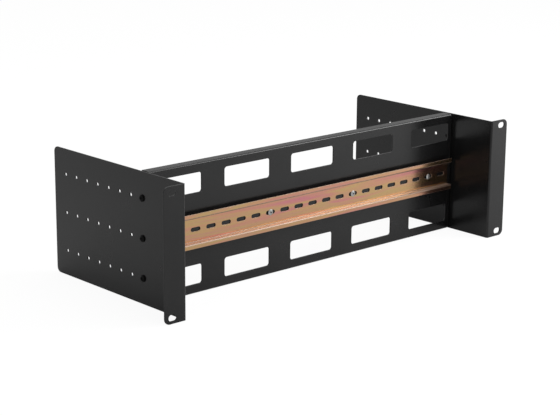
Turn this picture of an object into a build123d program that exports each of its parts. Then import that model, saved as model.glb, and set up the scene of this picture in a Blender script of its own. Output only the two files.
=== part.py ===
from build123d import *
import os

# A rack panel, three units high, that carries a top-hat rail between two folded side brackets.
# Sizes are in millimetres. +X is to the right seen from the front, +Y to the back and +Z up.
# The origin lies at the middle of the base: half way across, half way back, at the lower edges.

# Rack standard
rack_unit = 44.45
unit_count = 3
rack_height_relief = 0.8        # what a panel stays under its full height in units
overall_width = 482.6
ear_width = 25.8                # each side, from the inner face of the side plate
rack_hole_inset = 6.35          # from the edge of the first and last unit to its outer hole
ear_slot_edge = 9.5             # from the ear's outer edge to the slot's centre

# Side brackets
bracket_depth = 209.0
bracket_sheet = 1.5
bend_radius = 0.5               # inside of every fold in the black sheets
ear_corner_radius = 6.0
ear_slot_length = 10.0
ear_slot_width = 6.4
plate_corner_radius = 5.5

# Rows of holes in the side plates, which let the panel stand further forward or back
hole_columns = 8
hole_pitch = 18.0
hole_rear_margin = 19.0
hole_row_spacing = 40.0
side_hole_diameter = 3.8

# Cross panel
panel_sheet = 1.5
panel_edge_gap = 0.1            # below the brackets' upper edges and above the lower ones
edge_flange_depth = 11.0        # upper and lower flanges, over the front face
side_flange_depth = 13.0
flange_hole_setback = 6.5       # from the panel's front face to the screws in its side flanges
corner_relief_diameter = 1.6
window_width = 60.0
window_height = 20.0
window_columns = 5
window_end_margin = 6.7         # from the outer windows' edges to the brackets
window_row_offset = 46.6        # from mid-height to the middle of each row of windows
window_corner_radius = 3.0

# Top-hat rail
rail_height = 35.0
rail_hat_width = 27.0
rail_depth = 7.5
rail_sheet = 1.0
rail_bend_radius = 0.6
rail_end_gap = 7.0              # from the rail's end to the bracket
rail_slot_length = 12.0
rail_slot_width = 4.2
rail_slot_pitch = 19.7
rail_slot_end_margin = 4.0      # least sheet between the last slot and the rail's end
rivet_end_slots = 1             # slots left free between the outer rivets and the rail's ends
rivet_slot_ratio = 3            # the outer rivets lie this many times as far out as the inner ones

# Screws that hold the brackets to tapped holes in the panel's side flanges
screw_diameter = 3.5
screw_head_diameter = 7.0
screw_head_height = 2.5
screw_head_edge = 1.0           # height of the head's rim under its dome
screw_end_reach = 0.4           # past the flange
recess_length = 3.8
recess_width = 0.9
recess_depth = 1.4
recess_taper = 12.0             # degrees
thread_clearance = 0.05         # each side, between screw and flange

# Blind rivets that hold the rail to the panel
rivet_diameter = 3.2
rivet_head_diameter = 6.5
rivet_head_height = 1.0
rivet_head_edge = 0.3           # height of the head's rim under its dome
rivet_hole_clearance = 0.05     # each side, in the panel
rivet_bulb_diameter = 4.8
rivet_bulb_length = 2.6
rivet_bulb_taper = 0.7          # how far the swollen end narrows towards the stem's head
mandrel_diameter = 1.8
mandrel_clearance = 0.03        # each side, in the rivet's bore
mandrel_recess = 1.2            # from the top of the rivet's head down to the broken stem
mandrel_head_diameter = 3.0
mandrel_head_height = 1.2

# Places that follow from these sizes
bracket_height = unit_count * rack_unit - rack_height_relief
mid_height = bracket_height / 2
front_y = -bracket_depth / 2
rear_y = bracket_depth / 2
half_width = overall_width / 2
half_inner = half_width - ear_width
inner_width = 2 * half_inner
ear_slot_spacing_z = unit_count * rack_unit - 2 * rack_hole_inset

first_hole_y = rear_y - hole_rear_margin - (hole_columns - 1) * hole_pitch
panel_front_y = first_hole_y - flange_hole_setback
panel_height = bracket_height - 2 * panel_edge_gap
window_pitch = (inner_width - 2 * window_end_margin - window_width) / (window_columns - 1)
fold_outside = bend_radius + panel_sheet
side_screw_heights = {
    "lower": mid_height - hole_row_spacing,
    "middle": mid_height,
    "upper": mid_height + hole_row_spacing,
}

rail_web_y = panel_front_y - rail_sheet
rail_lip_y = panel_front_y - rail_depth
rail_length = inner_width - 2 * rail_end_gap
rail_inside_width = rail_hat_width - 2 * rail_sheet
slots_each_side = int(
    (rail_length / 2 - rail_slot_end_margin - rail_slot_length / 2) / rail_slot_pitch
)
rail_slot_count = 2 * slots_each_side + 1
outer_rivet_slot = slots_each_side - rivet_end_slots
inner_rivet_slot = round(outer_rivet_slot / rivet_slot_ratio)
rivet_slots = [-outer_rivet_slot, -inner_rivet_slot, inner_rivet_slot, outer_rivet_slot]
rivet_places_x = [slot * rail_slot_pitch for slot in rivet_slots]
rivet_grip = rail_sheet + panel_sheet
rivet_end = -(rivet_grip + rivet_bulb_length)

# Round pieces are drawn along Z, standing on a seat at zero or hanging from it
STANDING = (Align.CENTER, Align.CENTER, Align.MIN)
HANGING = (Align.CENTER, Align.CENTER, Align.MAX)

os.makedirs("parts", exist_ok=True)


def front_plane(y):
    """Upright plane at depth y and mid-height that looks to the front, with +X to its right."""
    return Plane(origin=(0, y, mid_height), x_dir=(1, 0, 0), z_dir=(0, -1, 0))


def side_plane(x, y, z, outward=1):
    """Upright plane through a point that looks to the right, or to the left where outward is -1."""
    return Plane(origin=(x, y, z), x_dir=(0, 1, 0), z_dir=(outward, 0, 0))


def folded_sheet(start, corners, radii, sheet, side, length):
    """Folded sheet: one face runs through corners drawn on the start plane, the other lies to one side."""
    with BuildPart() as folded:
        with BuildSketch(start):
            with BuildLine():
                FilletPolyline(*corners, radius=radii)
                offset(amount=sheet, side=side)
            make_face()
        extrude(amount=length)
    return folded.part


def right_bracket():
    """Side plate and rack ear, folded from one sheet, with its slots and its rows of holes."""
    corners = [(half_width, front_y), (half_inner, front_y), (half_inner, rear_y)]
    bend_outside = bend_radius + bracket_sheet
    with BuildPart() as bracket:
        add(folded_sheet(Plane.XY, corners, bend_outside, bracket_sheet, Side.RIGHT, bracket_height))
        ear_corners = bracket.edges().filter_by(Axis.Y).group_by(Axis.X)[-1]
        fillet(ear_corners, ear_corner_radius)
        rear_corners = bracket.edges().filter_by(Axis.X).group_by(Axis.Y)[-1]
        fillet(rear_corners, plate_corner_radius)
        with BuildSketch(front_plane(front_y)):
            with Locations((half_width - ear_slot_edge, 0)):
                with GridLocations(0, ear_slot_spacing_z, 1, 2):
                    SlotOverall(ear_slot_length, ear_slot_width)
        extrude(amount=-bracket_sheet, mode=Mode.SUBTRACT)
        rows_middle_y = first_hole_y + (hole_columns - 1) * hole_pitch / 2
        with BuildSketch(side_plane(half_inner, rows_middle_y, mid_height)):
            with GridLocations(hole_pitch, hole_row_spacing, hole_columns, len(side_screw_heights)):
                Circle(side_hole_diameter / 2)
        extrude(amount=bracket_sheet, mode=Mode.SUBTRACT)
    return bracket.part


def cross_panel():
    """Upright web with its edges folded back on all four sides, two rows of windows and round reliefs."""
    base_z = panel_edge_gap
    top_z = base_z + panel_height
    edge_reach = panel_front_y + edge_flange_depth
    edge_corners = [
        (edge_reach, top_z),
        (panel_front_y, top_z),
        (panel_front_y, base_z),
        (edge_reach, base_z),
    ]
    edge_length = inner_width - 2 * fold_outside
    edge_start = Plane.YZ.offset(-edge_length / 2)
    side_from = half_inner - 2 * fold_outside
    side_reach = panel_front_y + side_flange_depth
    side_corners = [(side_from, panel_front_y), (half_inner, panel_front_y), (half_inner, side_reach)]
    side_length = panel_height - 2 * fold_outside
    side_start = Plane.XY.offset(base_z + fold_outside)
    with BuildPart() as panel:
        add(folded_sheet(edge_start, edge_corners, fold_outside, panel_sheet, Side.LEFT, edge_length))
        add(folded_sheet(side_start, side_corners, fold_outside, panel_sheet, Side.LEFT, side_length))
        mirror(about=Plane.YZ)
        with BuildSketch(front_plane(panel_front_y)):
            with GridLocations(window_pitch, 2 * window_row_offset, window_columns, 2):
                RectangleRounded(window_width, window_height, window_corner_radius)
            with Locations(*[(x, 0) for x in rivet_places_x]):
                Circle(rivet_diameter / 2 + rivet_hole_clearance)
            with GridLocations(edge_length, side_length, 2, 2):
                Circle(corner_relief_diameter / 2)
        extrude(amount=-panel_sheet, mode=Mode.SUBTRACT)
        with BuildSketch(side_plane(0, first_hole_y, mid_height)):
            with GridLocations(0, hole_row_spacing, 1, len(side_screw_heights)):
                Circle(screw_diameter / 2 + thread_clearance)
        extrude(amount=half_inner, both=True, mode=Mode.SUBTRACT)
    return panel.part


def din_rail():
    """Top-hat rail: lips to the front, web flat on the panel, and a row of long slots down the middle."""
    inside = rail_inside_width / 2
    lip = rail_height / 2
    corners = [
        (rail_lip_y, mid_height + lip),
        (rail_lip_y, mid_height + inside),
        (rail_web_y, mid_height + inside),
        (rail_web_y, mid_height - inside),
        (rail_lip_y, mid_height - inside),
        (rail_lip_y, mid_height - lip),
    ]
    outer_fold = rail_bend_radius + rail_sheet
    radii = [outer_fold, rail_bend_radius, rail_bend_radius, outer_fold]
    rail_start = Plane.YZ.offset(-rail_length / 2)
    with BuildPart() as rail:
        add(folded_sheet(rail_start, corners, radii, rail_sheet, Side.LEFT, rail_length))
        with BuildSketch(front_plane(rail_web_y)):
            with GridLocations(rail_slot_pitch, 0, rail_slot_count, 1):
                SlotOverall(rail_slot_length, rail_slot_width)
        extrude(amount=-rail_sheet, mode=Mode.SUBTRACT)
    return rail.part


def domed_head(diameter, height, edge):
    """Round head on a seat at zero along Z: a straight rim of the given height, then a dome."""
    radius = diameter / 2
    dome_rise = height - edge
    dome_radius = (radius**2 + dome_rise**2) / (2 * dome_rise)
    with BuildPart() as head:
        with BuildSketch(Plane.XZ):
            with BuildLine():
                Polyline((0, height), (0, 0), (radius, 0), (radius, edge))
                RadiusArc((radius, edge), (0, height), -dome_radius)
            make_face()
        revolve(axis=Axis.Z)
    return head.part


def pan_head_screw():
    """Machine screw along Z: its head stands above the seat at zero, and its shank hangs below."""
    shank_length = bracket_sheet + panel_sheet + screw_end_reach
    with BuildPart() as screw:
        Cylinder(screw_diameter / 2, shank_length, align=HANGING)
        add(domed_head(screw_head_diameter, screw_head_height, screw_head_edge))
        with BuildSketch(Plane.XY.offset(screw_head_height)):
            Rectangle(recess_length, recess_width)
            Rectangle(recess_width, recess_length)
        extrude(amount=-recess_depth, taper=recess_taper, mode=Mode.SUBTRACT)
    return screw.part


def rivet_shell():
    """Set blind rivet along Z: domed head above the seat at zero, shank and swollen end below."""
    bulb = rivet_bulb_diameter / 2
    with BuildPart() as shell:
        add(domed_head(rivet_head_diameter, rivet_head_height, rivet_head_edge))
        Cylinder(rivet_diameter / 2, rivet_grip, align=HANGING)
        with Locations((0, 0, -rivet_grip)):
            Cone(bulb - rivet_bulb_taper, bulb, rivet_bulb_length, align=HANGING)
        with Locations((0, 0, rivet_head_height)):
            Hole(mandrel_diameter / 2 + mandrel_clearance)
    return shell.part


def rivet_mandrel():
    """What stays of the rivet's stem: broken off inside the head, with its own head on the blind end."""
    stem_top = rivet_head_height - mandrel_recess
    with BuildPart() as mandrel:
        with Locations((0, 0, stem_top)):
            Cylinder(mandrel_diameter / 2, stem_top - rivet_end, align=HANGING)
        with Locations((0, 0, rivet_end)):
            Cylinder(mandrel_head_diameter / 2, mandrel_head_height, align=HANGING)
    return mandrel.part


bracket = right_bracket()
nodes = {
    "right_bracket": bracket,
    "left_bracket": mirror(bracket, about=Plane.YZ),
    "cross_panel": cross_panel(),
    "din_rail": din_rail(),
}

# One screw for each row of holes, on both sides
screw = pan_head_screw()
for side, outward in (("left", -1), ("right", 1)):
    for level, height in side_screw_heights.items():
        seat_x = outward * (half_inner + bracket_sheet)
        head_seat = side_plane(seat_x, first_hole_y, height, outward)
        nodes[f"side_screw_{side}_{level}"] = head_seat * screw

# One rivet, with what is left of its stem, in each of four slots
shell = rivet_shell()
mandrel = rivet_mandrel()
for number, x in enumerate(rivet_places_x, start=1):
    rivet_seat = front_plane(rail_web_y) * Pos(x, 0, 0)
    nodes[f"rail_rivet_{number}"] = rivet_seat * shell
    nodes[f"rivet_mandrel_{number}"] = rivet_seat * mandrel

for name, shape in nodes.items():
    shape.label = name
    export_step(shape, f"parts/{name}.step")
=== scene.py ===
import math

import bmesh
import bpy
from mathutils import Matrix, Vector


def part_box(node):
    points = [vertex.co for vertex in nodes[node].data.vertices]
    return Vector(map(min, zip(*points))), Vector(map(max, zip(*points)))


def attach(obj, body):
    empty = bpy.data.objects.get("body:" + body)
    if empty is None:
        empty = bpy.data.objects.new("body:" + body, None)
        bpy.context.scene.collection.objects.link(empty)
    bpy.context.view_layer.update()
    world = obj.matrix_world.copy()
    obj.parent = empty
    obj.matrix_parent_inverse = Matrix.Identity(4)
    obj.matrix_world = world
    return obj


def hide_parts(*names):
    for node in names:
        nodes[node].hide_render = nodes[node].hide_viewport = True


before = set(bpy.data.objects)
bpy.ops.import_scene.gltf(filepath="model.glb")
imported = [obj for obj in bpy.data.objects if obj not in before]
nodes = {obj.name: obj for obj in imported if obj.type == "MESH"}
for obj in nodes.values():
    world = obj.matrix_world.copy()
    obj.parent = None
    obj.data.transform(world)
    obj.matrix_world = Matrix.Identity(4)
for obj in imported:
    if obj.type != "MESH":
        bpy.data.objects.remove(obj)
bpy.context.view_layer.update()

MM = 0.001
WHITE = (1.0, 1.0, 1.0)

# Photographed view: the camera's place, its heading from +Y towards +X, its dip and its roll in degrees
CAMERA_PLACE = (-1.11512, -1.21861, 0.48916)
CAMERA_HEADING = 42.405
CAMERA_DIP = 14.859
CAMERA_ROLL = 0.472
CAMERA_LENS = 103.021
CAMERA_CLIP = (0.05, 50.0)
SENSOR_WIDTH = 36.0

# Light
BACKGROUND = 1.0               # strength of the floor and the world as they are seen
WORLD_LIGHT = 0.52             # strength of the world as it lights the object
SOFTBOXES = (                  # name, place, point aimed at, width and height, power
    ("front_softbox", (0.40, -1.35, 1.90), (0.20, -0.45, 0), (2.6, 2.0), 42),
    ("right_softbox", (1.15, -0.85, 0.85), (0.66, -0.40, 0), (0.7, 0.7), 20),
    ("top_softbox", (-0.6, 0.2, 2.6), (0, 0, 0.06), (2.4, 2.0), 3),
    ("back_softbox", (0.5, 1.2, 2.4), (0.3, 0.9, 0), (2.4, 1.6), 22),
)

# Floor
FLOOR_REACH = 12.0
FLOOR_COLOUR = (0.86, 0.86, 0.86)
FLOOR_FLECK_COLOUR = (0.82, 0.82, 0.82)
FLOOR_FLECK_SHARE = 0.05
FLOOR_SHOWN_LIT = 0.07         # share of the floor's look that takes light and shadow, seen directly
FLOOR_MIRRORED_LIT = 0.75      # the same share where the object mirrors the floor

# Shading shared by the finishes
NOISE_MIDDLE = (0.3, 0.7)      # range that most of a noise pattern's values lie in
EDGE_AGREEMENT = (0.72, 0.97)  # of the normal and the rounded normal, from a full edge to none
EDGE_SAMPLES = 4
# occlusion range and samples for the painted shade in hollows
OPENNESS = (0.50, 0.85)        # from a full hollow to none
OPENNESS_SAMPLES = 8
MIX_SOCKETS = (0, 6, 7)        # of a colour mix node: its share and its two colours
MIX_RESULT = 2

# Black powder coat
COAT_DARK = (0.0042, 0.0042, 0.0043)
COAT_LIGHT = (0.0058, 0.0058, 0.0059)
COAT_WORN = (0.025, 0.025, 0.025)
COAT_WORN_SHARE = 0.15
COAT_WEAR_RANGE = (0.35, 0.75)
COAT_EDGE = 0.5 * MM
COAT_ROUGHNESS = (0.22, 0.27)
COAT_CLOUD_ROUGHNESS = (-0.02, 0.02)
COAT_GRAZING_ROUGHNESS = 0.22  # added where the coat is seen nearly edge on
COAT_GRAZING_RANGE = (0.55, 0.75)
COAT_SPECULAR = 0.205

# Yellow zinc: colours of the chromate film along two noise patterns, and painted shade and painted light
# by how level a face lies
ZINC_FILM = (
    (0.30, (0.335, 0.125, 0.140)),
    (0.41, (0.350, 0.165, 0.118)),
    (0.50, (0.335, 0.212, 0.096)),
    (0.58, (0.305, 0.228, 0.096)),
    (0.66, (0.350, 0.176, 0.118)),
    (0.74, (0.345, 0.118, 0.150)),
)
ZINC_TINT = (
    (0.35, (0.352, 0.135, 0.154)),
    (0.50, (0.343, 0.188, 0.114)),
    (0.65, (0.315, 0.222, 0.110)),
)
ZINC_TINT_SHARE = 0.4
ZINC_EDGE = 0.35 * MM
ZINC_EDGE_COLOUR = (0.52, 0.36, 0.26)
ZINC_EDGE_SHARE = 0.12
# painted shade on faces tilted from upright, and painted light on level faces such as the rail's walls
ZINC_BEND_PAINTED_SHADE = (0.25, 0.180, 0.140)
ZINC_BEND_LEVEL = (0.02, 0.25)
ZINC_BEND_ROUGHNESS = 0.34
ZINC_WALL_PAINTED_LIGHT = (0.46, 0.34, 0.27)
ZINC_WALL_LEVEL = (0.90, 0.97)
ZINC_ROUGHNESS = (0.15, 0.21)

# Black oxide
OXIDE_DARK = (0.0012, 0.0012, 0.0012)
OXIDE_LIGHT = (0.0035, 0.0035, 0.0037)
OXIDE_BARE = (0.03, 0.03, 0.031)
OXIDE_BARE_SHARE = 0.20
OXIDE_EDGE = 0.25 * MM
OXIDE_ROUGHNESS = (0.26, 0.36)
OXIDE_SPECULAR = 0.06

# Plain metals of the rivets and their stems
METAL_EDGE = 0.2 * MM
METAL_EDGE_SHARE = 0.5
METAL_EDGE_GAIN = 1.25
METAL_EDGE_LIFT = 0.03
# painted shade: colour laid into the bores and recesses, and how far the hollow reaches
METAL_HOLLOW_SHADE = (0.01, 0.01, 0.01)
METAL_HOLLOW_SHADE_REACH = 1.5 * MM
RIVET_DARK = (0.22, 0.22, 0.215)
RIVET_LIGHT = (0.32, 0.32, 0.31)
RIVET_ROUGHNESS = (0.26, 0.38)
STEM_DARK = (0.006, 0.006, 0.006)
STEM_LIGHT = (0.014, 0.014, 0.014)
STEM_ROUGHNESS = (0.45, 0.60)

# Rounding of the sheets' cut edges
EDGE_ROUND = 0.2 * MM
EDGE_SEGMENTS = 3
EDGE_PROFILE = 0.5
SQUARE_FROM, SQUARE_TO = math.radians(80), math.radians(100)
MERGE_DISTANCE = 0.001 * MM
COPLANAR_ANGLE = math.radians(0.3)
STRAIGHT = 0.9999              # part of a normal along one axis, above which a face counts as straight
FLAT_AREA = 4 * MM * MM        # straight faces larger than this are shaded flat
FOLD_CORNER = 14 * MM          # about the panel's folded corners, where edges stay as they are
PLATE_MIDDLE = 216.25 * MM     # middle of a side plate's thickness, from the object's middle
HOLE_COLUMNS = 8
HOLE_PITCH = 18 * MM
HOLE_REACH = 2.2 * MM          # about a small side hole's middle, where edges stay as they are

# Turned pieces, drawn along Z from a seat at zero, in millimetres
CREASE_ANGLE = math.radians(32)  # above which edges are creased, on the sheets too
DOME_STEPS = 9
FRONT = (0, -1, 0)             # direction that the rivets' heads point in

# Screws
SCREW_RADIUS = 1.75
SCREW_LENGTH = 3.4             # under the head
SCREW_HEAD_RADIUS = 3.5
SCREW_HEAD_HEIGHT = 2.5
SCREW_HEAD_EDGE = 1.0
SCREW_RIM_ROUND = 0.15
SCREW_SEGMENTS = 56
THREAD_PITCH = 0.6
THREAD_DEPTH = 0.33
THREAD_STEPS = 8               # rows in one turn of thread
THREAD_RUNOUT = 0.5            # length over which the thread fades at its ends
RECESS_LENGTH = 3.8
RECESS_WIDTH = 0.9
RECESS_DEPTH = 1.4
RECESS_ABOVE = 0.1             # by which the recess's cutter stands above the head
RECESS_TAPER = math.radians(12)
RECESS_TURN = math.radians(37)  # from one screw to the next

# Blind rivets
RIVET_COUNT = 4
RIVET_RADIUS = 1.6
RIVET_HEAD_RADIUS = 3.25
RIVET_HEAD_HEIGHT = 1.0
RIVET_HEAD_EDGE = 0.3
RIVET_BORE_RADIUS = 0.93
RIVET_ROUND = 0.08
RIVET_GRIP = 2.5
RIVET_BULB_RADIUS = 2.4
RIVET_BULB_NECK = 1.7
RIVET_BULB_LENGTH = 2.6
RIVET_BULB_STEPS = 8
RIVET_SEGMENTS = 48
STEM_RADIUS = 0.9
STEM_TOP = -0.2
STEM_NECK = ((0.0, 0.60), (0.10, 0.42), (0.24, 0.18), (0.50, 0.02))  # narrowing, depth under the top
STEM_HEAD_RADIUS = 1.5
STEM_HEAD_HEIGHT = 1.2


# Materials
class Nodes:
    """Short way to build the node tree of a material or a world."""

    def __init__(self, owner, output="ShaderNodeOutputMaterial"):
        owner.use_nodes = True
        self.owner = owner
        self.tree = owner.node_tree
        self.tree.nodes.clear()
        self.output = self.add(output)

    def add(self, kind, **settings):
        node = self.tree.nodes.new(kind)
        for key, value in settings.items():
            setattr(node, key, value)
        return node

    def link(self, start, end):
        self.tree.links.new(start, end)

    def put(self, node, socket, value):
        """Sets a socket to a value or a colour, or links it to another node's output."""
        if isinstance(value, bpy.types.NodeSocket):
            self.link(value, node.inputs[socket])
        elif isinstance(value, tuple):
            node.inputs[socket].default_value = (*value, 1.0)
        else:
            node.inputs[socket].default_value = value

    def place(self, scale=(1, 1, 1), turn=0.0):
        """The object's own coordinates, in metres, stretched by scale and then turned about Y."""
        coordinates = self.add("ShaderNodeTexCoord")
        mapping = self.add("ShaderNodeMapping")
        mapping.inputs["Scale"].default_value = scale
        mapping.inputs["Rotation"].default_value = (0, turn, 0)
        self.link(coordinates.outputs["Object"], mapping.inputs["Vector"])
        return mapping.outputs["Vector"]

    def noise(self, place, scale, detail, roughness, distortion=0.0):
        node = self.add("ShaderNodeTexNoise")
        node.inputs["Scale"].default_value = scale
        node.inputs["Detail"].default_value = detail
        node.inputs["Roughness"].default_value = roughness
        node.inputs["Distortion"].default_value = distortion
        self.link(place, node.inputs["Vector"])
        return node.outputs["Fac"]

    def ramp(self, value, *stops):
        """Colours at positions from 0 to 1."""
        node = self.add("ShaderNodeValToRGB")
        elements = node.color_ramp.elements
        while len(elements) < len(stops):
            elements.new(0.5)
        for element, (position, colour) in zip(elements, stops):
            element.position = position
            element.color = (*colour, 1.0)
        self.link(value, node.inputs["Fac"])
        return node.outputs["Color"]

    def span(self, value, low, high, start=0.0, end=1.0):
        """Maps a value from start..end to low..high, held at both ends."""
        node = self.add("ShaderNodeMapRange")
        node.inputs["From Min"].default_value = start
        node.inputs["From Max"].default_value = end
        node.inputs["To Min"].default_value = low
        node.inputs["To Max"].default_value = high
        self.link(value, node.inputs["Value"])
        return node.outputs["Result"]

    def mix(self, share, first, second):
        """A colour that goes from the first to the second as the share grows from 0 to 1."""
        node = self.add("ShaderNodeMix", data_type="RGBA")
        for socket, value in zip(MIX_SOCKETS, (share, first, second)):
            self.put(node, socket, value)
        return node.outputs[MIX_RESULT]

    def mix_shaders(self, share, first, second):
        """A shader that goes from the first to the second as the share grows from 0 to 1."""
        node = self.add("ShaderNodeMixShader")
        for socket, value in enumerate((share, first, second)):
            self.link(value, node.inputs[socket])
        return node.outputs["Shader"]

    def maths(self, operation, first, second=0.0):
        node = self.add("ShaderNodeMath", operation=operation)
        self.put(node, 0, first)
        self.put(node, 1, second)
        return node.outputs["Value"]

    def bump(self, height, strength, distance, under=None):
        """A normal that follows the height, over the normal of the bump under it if there is one."""
        node = self.add("ShaderNodeBump")
        node.inputs["Strength"].default_value = strength
        node.inputs["Distance"].default_value = distance
        self.link(height, node.inputs["Height"])
        if under is not None:
            self.link(under, node.inputs["Normal"])
        return node.outputs["Normal"]

    def facing(self):
        """0 where the surface faces the viewer and 1 where it is seen edge on, for gloss."""
        weight = self.add("ShaderNodeLayerWeight")
        weight.inputs["Blend"].default_value = 0.5
        return weight.outputs["Facing"]

    def level(self):
        """Size of the normal's upward part: 1 on level faces and 0 on upright ones."""
        geometry = self.add("ShaderNodeNewGeometry")
        parts = self.add("ShaderNodeSeparateXYZ")
        self.link(geometry.outputs["Normal"], parts.inputs["Vector"])
        return self.maths("ABSOLUTE", parts.outputs["Z"])

    def hollow_shade_mask(self, reach):
        """Painted shade mask: 1 deep in a bore or a recess of the piece itself, 0 on its open faces."""
        node = self.add("ShaderNodeAmbientOcclusion", samples=OPENNESS_SAMPLES, only_local=True)
        node.inputs["Distance"].default_value = reach
        return self.span(node.outputs["AO"], 1.0, 0.0, *OPENNESS)

    def edge_mask(self, radius):
        """1 on sharp edges and 0 on flat faces, from the angle to the rounded normal."""
        bevel = self.add("ShaderNodeBevel", samples=EDGE_SAMPLES)
        bevel.inputs["Radius"].default_value = radius
        geometry = self.add("ShaderNodeNewGeometry")
        dot = self.add("ShaderNodeVectorMath", operation="DOT_PRODUCT")
        self.link(bevel.outputs["Normal"], dot.inputs[0])
        self.link(geometry.outputs["Normal"], dot.inputs[1])
        return self.span(dot.outputs["Value"], 1.0, 0.0, *EDGE_AGREEMENT)

    def seen_rays(self, path):
        """1 for camera, glossy and transmission rays, 0 for the rest."""
        seen = self.maths("MAXIMUM", path.outputs["Is Camera Ray"], path.outputs["Is Glossy Ray"])
        return self.maths("MAXIMUM", seen, path.outputs["Is Transmission Ray"])

    def glow(self, kind, strength):
        """A white emission or background shader."""
        node = self.add(kind)
        self.put(node, "Color", WHITE)
        self.put(node, "Strength", strength)
        return node.outputs[0]

    def finish(self, colour, roughness, normal, metallic=0.0, specular=0.5):
        """Closes the tree with the material's one shader."""
        shader = self.add("ShaderNodeBsdfPrincipled")
        self.put(shader, "Base Color", colour)
        self.put(shader, "Roughness", roughness)
        self.put(shader, "Metallic", metallic)
        self.put(shader, "Specular IOR Level", specular)
        self.put(shader, "Normal", normal)
        self.link(shader.outputs["BSDF"], self.output.inputs["Surface"])
        return self.owner


def black_coat():
    """Satin black powder coat: faint mottling, fine orange-peel grain, thinner and paler on edges."""
    make = Nodes(bpy.data.materials.new("black_powder_coat"))
    place = make.place()
    mottle = make.noise(place, scale=38.0, detail=4.0, roughness=0.6)
    grain = make.noise(place, scale=1500.0, detail=2.0, roughness=0.5)
    peel = make.noise(place, scale=420.0, detail=2.0, roughness=0.45)
    cloud = make.noise(place, scale=9.0, detail=2.0, roughness=0.5)
    wear = make.noise(place, scale=220.0, detail=3.0, roughness=0.55)
    colour = make.ramp(mottle, (0.30, COAT_DARK), (0.70, COAT_LIGHT))
    edges = make.edge_mask(COAT_EDGE)
    worn = make.maths("MULTIPLY", edges, make.span(wear, 0.0, COAT_WORN_SHARE, *COAT_WEAR_RANGE))
    colour = make.mix(worn, colour, COAT_WORN)
    rough = make.span(mottle, *COAT_ROUGHNESS, *NOISE_MIDDLE)
    rough = make.maths("ADD", rough, make.span(cloud, *COAT_CLOUD_ROUGHNESS, *NOISE_MIDDLE))
    grazing = make.span(make.facing(), 0.0, COAT_GRAZING_ROUGHNESS, *COAT_GRAZING_RANGE)
    rough = make.maths("ADD", rough, grazing)
    normal = make.bump(grain, strength=0.10, distance=0.01 * MM)
    normal = make.bump(peel, strength=0.12, distance=0.015 * MM, under=normal)
    return make.finish(colour, rough, normal, specular=COAT_SPECULAR)


def yellow_zinc():
    """Yellow-chromated zinc: bright metal under a film that drifts from gold to pink and green, with
    painted shade on tilted faces and painted light on level ones.
    """
    make = Nodes(bpy.data.materials.new("yellow_zinc_chromate"))
    streaked = make.place((4.5, 60.0, 60.0), math.radians(2))
    drifting = make.place((8.0, 300.0, 300.0), math.radians(1.5))
    brushed = make.place((60.0, 900.0, 900.0))
    streaks = make.noise(streaked, scale=1.6, detail=3.0, roughness=0.55, distortion=0.6)
    drift = make.noise(drifting, scale=1.3, detail=3.0, roughness=0.6, distortion=0.3)
    fine = make.noise(brushed, scale=1.0, detail=2.0, roughness=0.5)
    colour = make.mix(ZINC_TINT_SHARE, make.ramp(streaks, *ZINC_FILM), make.ramp(drift, *ZINC_TINT))
    edges = make.edge_mask(ZINC_EDGE)
    colour = make.mix(make.maths("MULTIPLY", edges, ZINC_EDGE_SHARE), colour, ZINC_EDGE_COLOUR)
    level = make.level()
    bend_shade_and_roughness = make.span(level, 0.0, 1.0, *ZINC_BEND_LEVEL)
    wall_light_share = make.span(level, 0.0, 1.0, *ZINC_WALL_LEVEL)
    # painted shade on tilted faces and painted light on level ones, set by the normal's upward part
    colour = make.mix(bend_shade_and_roughness, colour, ZINC_BEND_PAINTED_SHADE)
    colour = make.mix(wall_light_share, colour, ZINC_WALL_PAINTED_LIGHT)
    rough = make.span(fine, *ZINC_ROUGHNESS, *NOISE_MIDDLE)
    rough = make.maths("ADD", rough, make.span(bend_shade_and_roughness, 0.0, ZINC_BEND_ROUGHNESS))
    normal = make.bump(fine, strength=0.06, distance=0.004 * MM)
    return make.finish(colour, rough, normal, metallic=1.0)


def plain_metal(name, dark, light, roughness):
    """Bare metal with faint spots, fine scratches, brighter edges and painted shade darkening its bores.
    """
    make = Nodes(bpy.data.materials.new(name))
    spots = make.noise(make.place(), scale=400.0, detail=3.0, roughness=0.6)
    fine = make.noise(make.place((300.0, 2600.0, 2600.0)), scale=1.0, detail=2.0, roughness=0.5)
    colour = make.ramp(spots, (0.32, dark), (0.68, light))
    bright = tuple(min(1.0, channel * METAL_EDGE_GAIN + METAL_EDGE_LIFT) for channel in light)
    edges = make.edge_mask(METAL_EDGE)
    colour = make.mix(make.maths("MULTIPLY", edges, METAL_EDGE_SHARE), colour, bright)
    # painted shade darkening the bores and recesses
    colour = make.mix(make.hollow_shade_mask(METAL_HOLLOW_SHADE_REACH), colour, METAL_HOLLOW_SHADE)
    rough = make.span(fine, *roughness, *NOISE_MIDDLE)
    normal = make.bump(fine, strength=0.15, distance=0.01 * MM)
    return make.finish(colour, rough, normal, metallic=1.0)


def black_oxide():
    """Blackened steel screw: oily dark finish, a little bare where a driver has turned it."""
    make = Nodes(bpy.data.materials.new("black_oxide_steel"))
    spots = make.noise(make.place(), scale=900.0, detail=3.0, roughness=0.6)
    colour = make.ramp(spots, (0.30, OXIDE_DARK), (0.70, OXIDE_LIGHT))
    edges = make.edge_mask(OXIDE_EDGE)
    colour = make.mix(make.maths("MULTIPLY", edges, OXIDE_BARE_SHARE), colour, OXIDE_BARE)
    rough = make.span(spots, *OXIDE_ROUGHNESS, *NOISE_MIDDLE)
    normal = make.bump(spots, strength=0.15, distance=0.006 * MM)
    return make.finish(colour, rough, normal, specular=OXIDE_SPECULAR)


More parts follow.
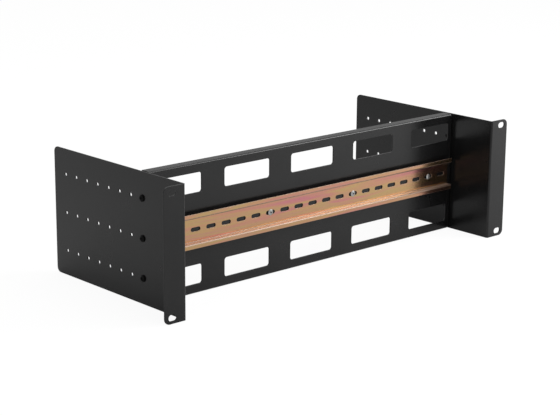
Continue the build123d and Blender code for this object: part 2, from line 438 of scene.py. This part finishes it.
coat = black_coat()
zinc = yellow_zinc()
screw_black = black_oxide()
rivet_metal = plain_metal("rivet_aluminium", RIVET_DARK, RIVET_LIGHT, RIVET_ROUGHNESS)
stem_metal = plain_metal("rivet_stem_steel", STEM_DARK, STEM_LIGHT, STEM_ROUGHNESS)

# How a node's name starts, with its material and its slot
FINISHES = (
    ("left_bracket", coat, "black_coat"),
    ("right_bracket", coat, "black_coat"),
    ("cross_panel", coat, "black_coat"),
    ("din_rail", zinc, "yellow_zinc"),
    ("side_screw", screw_black, "black_screw"),
    ("rail_rivet", rivet_metal, "rivet_aluminium"),
    ("rivet_mandrel", stem_metal, "mandrel_steel"),
)


def finish_for(name):
    """Material and slot of a node, or of the piece that stands for it."""
    for start, material, slot in FINISHES:
        if name.startswith(start):
            return material, slot
    raise KeyError(name)


def set_material(piece, material):
    if piece.material_slots:
        for slot in piece.material_slots:
            slot.material = material
    else:
        piece.data.materials.append(material)


for name, node in nodes.items():
    set_material(node, finish_for(name)[0])


# Pieces
def dress(name, shape):
    """Makes a piece from a bmesh in the shared frame, and lets it stand for the node of that name."""
    mesh = bpy.data.meshes.new(f"{name}_finished")
    shape.to_mesh(mesh)
    shape.free()
    piece = bpy.data.objects.new(f"{name}_finished", mesh)
    bpy.context.scene.collection.objects.link(piece)
    material, slot = finish_for(name)
    set_material(piece, material)
    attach(piece, "root")
    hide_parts(name)


def rounded_sheet(name, kept_places=()):
    """The node's own sheet with its cut edges rounded, apart from those about the kept places."""
    shape = bmesh.new()
    shape.from_mesh(nodes[name].data)
    bmesh.ops.remove_doubles(shape, verts=shape.verts, dist=MERGE_DISTANCE)
    bmesh.ops.dissolve_limit(shape, angle_limit=COPLANAR_ANGLE, verts=shape.verts, edges=shape.edges)

    def is_cut(edge):
        return edge.is_manifold and SQUARE_FROM < edge.calc_face_angle() < SQUARE_TO

    def is_kept(edge):
        return any((end.co - place).length < reach for end in edge.verts for place, reach in kept_places)

    bmesh.ops.bevel(
        shape,
        geom=[edge for edge in shape.edges if is_cut(edge) and not is_kept(edge)],
        offset=EDGE_ROUND,
        offset_type="OFFSET",
        segments=EDGE_SEGMENTS,
        profile=EDGE_PROFILE,
        affect="EDGES",
        clamp_overlap=False,
    )
    crease(shape)
    return shape


def panel_fold_corners():
    """The panel's four folded corners, beside its front face, where the folds' reliefs meet."""
    low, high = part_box("cross_panel")
    return [(Vector((x, low.y, z)), FOLD_CORNER) for x in (low.x, high.x) for z in (low.z, high.z)]


def small_side_holes(name):
    """Middles of the bracket's small holes, in rows that run back from the screws. They stay sharp."""
    side = name.split("_")[0]
    screws = [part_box(node) for node in nodes if node.startswith(f"side_screw_{side}")]
    seats = [(low + high) / 2 for low, high in screws]
    middle_of_plate = PLATE_MIDDLE if seats[0].x > 0 else -PLATE_MIDDLE
    return [
        (Vector((middle_of_plate, seat.y + column * HOLE_PITCH, seat.z)), HOLE_REACH)
        for seat in seats
        for column in range(HOLE_COLUMNS)
    ]


def turned(rows, segments, closed=False):
    """Turned shape from rows of (radius or function of the angle, height). A closed one joins its ends."""
    shape = bmesh.new()
    rings = []
    for radius, height in rows:
        if radius == 0:
            rings.append([shape.verts.new((0, 0, height))])
            continue
        ring = []
        for step in range(segments):
            angle = 2 * math.pi * step / segments
            reach = radius(angle) if callable(radius) else radius
            ring.append(shape.verts.new((reach * math.cos(angle), reach * math.sin(angle), height)))
        rings.append(ring)
    pairs = list(zip(rings, rings[1:]))
    if closed:
        pairs.append((rings[-1], rings[0]))
    for lower, upper in pairs:
        for step in range(segments):
            after = (step + 1) % segments
            if len(lower) == 1:
                corners = (lower[0], upper[after], upper[step])
            elif len(upper) == 1:
                corners = (lower[step], lower[after], upper[0])
            else:
                corners = (lower[step], lower[after], upper[after], upper[step])
            shape.faces.new(corners)
    bmesh.ops.recalc_face_normals(shape, faces=shape.faces)
    return shape


def crease(shape):
    """Smooth faces, apart from large flat ones, with creases where they meet at a steep angle."""
    for face in shape.faces:
        straight = max(abs(part) for part in face.normal) > STRAIGHT
        face.smooth = not (straight and face.calc_area() > FLAT_AREA)
    for edge in shape.edges:
        edge.smooth = edge.is_manifold and edge.calc_face_angle() < CREASE_ANGLE


def dome_rows(radius, height, edge, inner=0.0):
    """Rows up a dome, from its rim in to the inner radius."""
    rise = height - edge
    sphere = (radius**2 + rise**2) / (2 * rise)
    rows = []
    for step in range(DOME_STEPS + 1):
        reach = radius + (inner - radius) * step / DOME_STEPS
        rows.append((reach, height - sphere + math.sqrt(sphere**2 - reach**2)))
    return rows


def thread_rows(length):
    """Rows up a threaded shank that ends below in a chamfer and above under the head."""
    core = SCREW_RADIUS - THREAD_DEPTH
    rows = [(0, -length), (core - THREAD_DEPTH, -length)]
    count = round(length / THREAD_PITCH * THREAD_STEPS)
    for row in range(1, count):
        height = -length + length * row / count
        fade = min(1.0, (height + length) / THREAD_RUNOUT, -height / THREAD_RUNOUT)
        rows.append((thread_reach(core, height, fade), height))
    rows.append((core, 0))
    return rows


def thread_reach(core, height, fade):
    """The thread's radius at one height, as a function of the angle about the shank."""

    def reach(angle):
        turn = (height / THREAD_PITCH - angle / (2 * math.pi)) % 1.0
        return core + THREAD_DEPTH * fade * (1 - abs(2 * turn - 1))

    return reach


def screw_shape():
    """Pan-head screw with a rounded rim, a thread and a cross recess."""
    rows = thread_rows(SCREW_LENGTH)
    rows.append((SCREW_HEAD_RADIUS - SCREW_RIM_ROUND, 0))
    rows.append((SCREW_HEAD_RADIUS, SCREW_RIM_ROUND))
    rows += dome_rows(SCREW_HEAD_RADIUS, SCREW_HEAD_HEIGHT, SCREW_HEAD_EDGE)
    return cut_recess(turned(rows, SCREW_SEGMENTS))


def recess_cutter():
    """Cross that narrows downwards, from a little above the head's top to the recess's floor."""
    shape = bmesh.new()
    rings = []
    for depth in (-RECESS_ABOVE, RECESS_DEPTH):
        shrink = depth * math.tan(RECESS_TAPER)
        far, near = RECESS_LENGTH / 2 - shrink, RECESS_WIDTH / 2 - shrink
        outline = []
        for quarter in range(4):
            turn = Matrix.Rotation(quarter * math.pi / 2, 2)
            outline += [turn @ Vector(point) for point in ((far, -near), (far, near), (near, near))]
        height = SCREW_HEAD_HEIGHT - depth
        rings.append([shape.verts.new((point.x, point.y, height)) for point in outline])
    top, floor = rings
    shape.faces.new(top)
    shape.faces.new(reversed(floor))
    for step, corner in enumerate(top):
        after = (step + 1) % len(top)
        shape.faces.new((corner, floor[step], floor[after], top[after]))
    bmesh.ops.recalc_face_normals(shape, faces=shape.faces)
    return shape


def cut_recess(head):
    """Takes the cross out of the screw's head by an exact boolean."""
    helpers = []
    for name, shape in (("screw_blank", head), ("recess_cutter", recess_cutter())):
        mesh = bpy.data.meshes.new(name)
        shape.to_mesh(mesh)
        shape.free()
        helper = bpy.data.objects.new(name, mesh)
        bpy.context.scene.collection.objects.link(helper)
        helpers.append(helper)
    blank, cutter = helpers
    cut = blank.modifiers.new("recess", "BOOLEAN")
    cut.operation = "DIFFERENCE"
    cut.solver = "EXACT"
    cut.object = cutter
    made = bpy.data.meshes.new_from_object(blank.evaluated_get(bpy.context.evaluated_depsgraph_get()))
    result = bmesh.new()
    result.from_mesh(made)
    for helper in helpers:
        bpy.data.objects.remove(helper)
    bpy.data.meshes.remove(made)
    return result


def rivet_shape():
    """Set blind rivet: domed head with an open bore, shank, and a blind end that swelled when pulled."""
    tail = -RIVET_GRIP - RIVET_BULB_LENGTH
    rows = [
        (RIVET_BORE_RADIUS, tail),
        (RIVET_BULB_NECK - RIVET_ROUND, tail),
        (RIVET_BULB_NECK, tail + RIVET_ROUND),
    ]
    shoulder = -RIVET_GRIP - 2 * RIVET_ROUND
    for step in range(1, RIVET_BULB_STEPS + 1):
        share = step / RIVET_BULB_STEPS
        swell = math.sin(share * math.pi / 2)
        radius = RIVET_BULB_NECK + (RIVET_BULB_RADIUS - RIVET_BULB_NECK) * swell
        rows.append((radius, tail + RIVET_ROUND + (shoulder - tail - RIVET_ROUND) * share))
    rows += [
        (RIVET_BULB_RADIUS - RIVET_ROUND, -RIVET_GRIP - RIVET_ROUND / 2),
        (RIVET_BULB_RADIUS - 2 * RIVET_ROUND, -RIVET_GRIP),
        (RIVET_RADIUS, -RIVET_GRIP),
        (RIVET_RADIUS, 0),
        (RIVET_HEAD_RADIUS - RIVET_ROUND, 0),
        (RIVET_HEAD_RADIUS, RIVET_ROUND),
    ]
    lip = RIVET_BORE_RADIUS + RIVET_ROUND
    rows += dome_rows(RIVET_HEAD_RADIUS, RIVET_HEAD_HEIGHT, RIVET_HEAD_EDGE, lip)
    rows.append((RIVET_BORE_RADIUS, rows[-1][1] - RIVET_ROUND))
    return turned(rows, RIVET_SEGMENTS, closed=True)


def stem_shape():
    """Rest of the rivet's stem: necked where it broke, with its own rounded head on the blind end."""
    seat = -RIVET_GRIP - RIVET_BULB_LENGTH
    end = seat - STEM_HEAD_HEIGHT
    rows = [
        (0, end),
        (STEM_HEAD_RADIUS - 3 * RIVET_ROUND, end),
        (STEM_HEAD_RADIUS - RIVET_ROUND, end + RIVET_ROUND),
        (STEM_HEAD_RADIUS, end + 3 * RIVET_ROUND),
        (STEM_HEAD_RADIUS, seat - RIVET_ROUND),
        (STEM_HEAD_RADIUS - RIVET_ROUND, seat),
        (STEM_RADIUS, seat),
    ]
    rows += [(STEM_RADIUS - narrowing, STEM_TOP - depth) for narrowing, depth in STEM_NECK]
    rows.append((0, STEM_TOP))
    return turned(rows, RIVET_SEGMENTS)


def set_in_place(shape, seat, outward, turn=0.0):
    """From millimetres about a seat to the shared frame, with +Z turned to the outward direction."""
    aim = Vector(outward).to_track_quat("Z", "Y").to_matrix().to_4x4()
    place = Matrix.Translation(seat) @ aim @ Matrix.Rotation(turn, 4, "Z") @ Matrix.Scale(MM, 4)
    bmesh.ops.transform(shape, matrix=place, verts=shape.verts)
    crease(shape)
    return shape


def dress_screw(name, number):
    """Finds the screw's seat on its bracket from the node's box, and dresses it from there."""
    low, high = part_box(name)
    middle = (low + high) / 2
    outward = 1 if middle.x > 0 else -1
    inner_end = low.x if outward > 0 else high.x
    seat = Vector((inner_end + outward * SCREW_LENGTH * MM, middle.y, middle.z))
    dress(name, set_in_place(screw_shape(), seat, (outward, 0, 0), number * RECESS_TURN))


def dress_rivet(number):
    """Finds the rivet's seat on the rail from its node's box, and dresses it and its stem from there."""
    low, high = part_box(f"rail_rivet_{number}")
    middle = (low + high) / 2
    seat = Vector((middle.x, high.y - (RIVET_GRIP + RIVET_BULB_LENGTH) * MM, middle.z))
    dress(f"rail_rivet_{number}", set_in_place(rivet_shape(), seat, FRONT))
    dress(f"rivet_mandrel_{number}", set_in_place(stem_shape(), seat, FRONT))


for name in ("left_bracket", "right_bracket"):
    dress(name, rounded_sheet(name, small_side_holes(name)))
dress("din_rail", rounded_sheet("din_rail"))
dress("cross_panel", rounded_sheet("cross_panel", panel_fold_corners()))
for number, name in enumerate(sorted(name for name in nodes if name.startswith("side_screw"))):
    dress_screw(name, number)
for number in range(1, RIVET_COUNT + 1):
    dress_rivet(number)


# Floor, light and camera
def floor_paper():
    """White paper that glows white to the rays that see it, with a share of its light and shadow."""
    make = Nodes(bpy.data.materials.new("floor_paper"))
    flecks = make.noise(make.place(), scale=60.0, detail=3.0, roughness=0.6)
    colour = make.mix(make.span(flecks, 0.0, FLOOR_FLECK_SHARE), FLOOR_COLOUR, FLOOR_FLECK_COLOUR)
    diffuse = make.add("ShaderNodeBsdfDiffuse")
    make.link(colour, diffuse.inputs["Color"])
    lit = diffuse.outputs["BSDF"]
    path = make.add("ShaderNodeLightPath")
    lit_share = make.span(path.outputs["Is Glossy Ray"], FLOOR_SHOWN_LIT, FLOOR_MIRRORED_LIT)
    seen = make.mix_shaders(lit_share, make.glow("ShaderNodeEmission", BACKGROUND), lit)
    surface = make.mix_shaders(make.seen_rays(path), lit, seen)
    make.link(surface, make.output.inputs["Surface"])
    return make.owner


def studio_floor():
    corners = [(x * FLOOR_REACH, y * FLOOR_REACH, 0) for x, y in ((-1, -1), (1, -1), (1, 1), (-1, 1))]
    mesh = bpy.data.meshes.new("studio_floor")
    mesh.from_pydata(corners, [], [(0, 1, 2, 3)])
    mesh.materials.append(floor_paper())
    floor = bpy.data.objects.new("studio_floor", mesh)
    bpy.context.scene.collection.objects.link(floor)


def white_world():
    """White to the rays that see it, and dimmer where it lights the object."""
    world = bpy.data.worlds.new("studio")
    bpy.context.scene.world = world
    make = Nodes(world, "ShaderNodeOutputWorld")
    seen = make.glow("ShaderNodeBackground", BACKGROUND)
    light = make.glow("ShaderNodeBackground", WORLD_LIGHT)
    path = make.add("ShaderNodeLightPath")
    make.link(make.mix_shaders(make.seen_rays(path), light, seen), make.output.inputs["Surface"])


def softbox(name, place, aim, size, power):
    lamp = bpy.data.lights.new(name, "AREA")
    lamp.shape = "RECTANGLE"
    lamp.size, lamp.size_y = size
    lamp.energy = power
    box = bpy.data.objects.new(name, lamp)
    box.location = place
    box.rotation_euler = (Vector(aim) - Vector(place)).to_track_quat("-Z", "Y").to_euler()
    bpy.context.scene.collection.objects.link(box)


def photograph_camera():
    """Camera at the photographed view, turned by its heading, dip and roll."""
    heading, dip, roll = map(math.radians, (CAMERA_HEADING, CAMERA_DIP, CAMERA_ROLL))
    look = Vector(
        (math.sin(heading) * math.cos(dip), math.cos(heading) * math.cos(dip), -math.sin(dip))
    )
    level = look.cross(Vector((0, 0, 1))).normalized()
    upright = level.cross(look)
    right = math.cos(roll) * level + math.sin(roll) * upright
    up = -math.sin(roll) * level + math.cos(roll) * upright
    lens = bpy.data.cameras.new("photograph_view")
    lens.lens = CAMERA_LENS
    lens.sensor_width = SENSOR_WIDTH
    lens.sensor_fit = "HORIZONTAL"
    lens.clip_start, lens.clip_end = CAMERA_CLIP
    camera = bpy.data.objects.new("photograph_view", lens)
    turn = Matrix((right, up, -look)).transposed().to_4x4()
    camera.matrix_world = Matrix.Translation(CAMERA_PLACE) @ turn
    bpy.context.scene.collection.objects.link(camera)
    bpy.context.scene.camera = camera


studio_floor()
white_world()
for name, place, aim, size, power in SOFTBOXES:
    softbox(name, place, aim, size, power)
photograph_camera()

bpy.context.scene.view_settings.view_transform = "Standard"
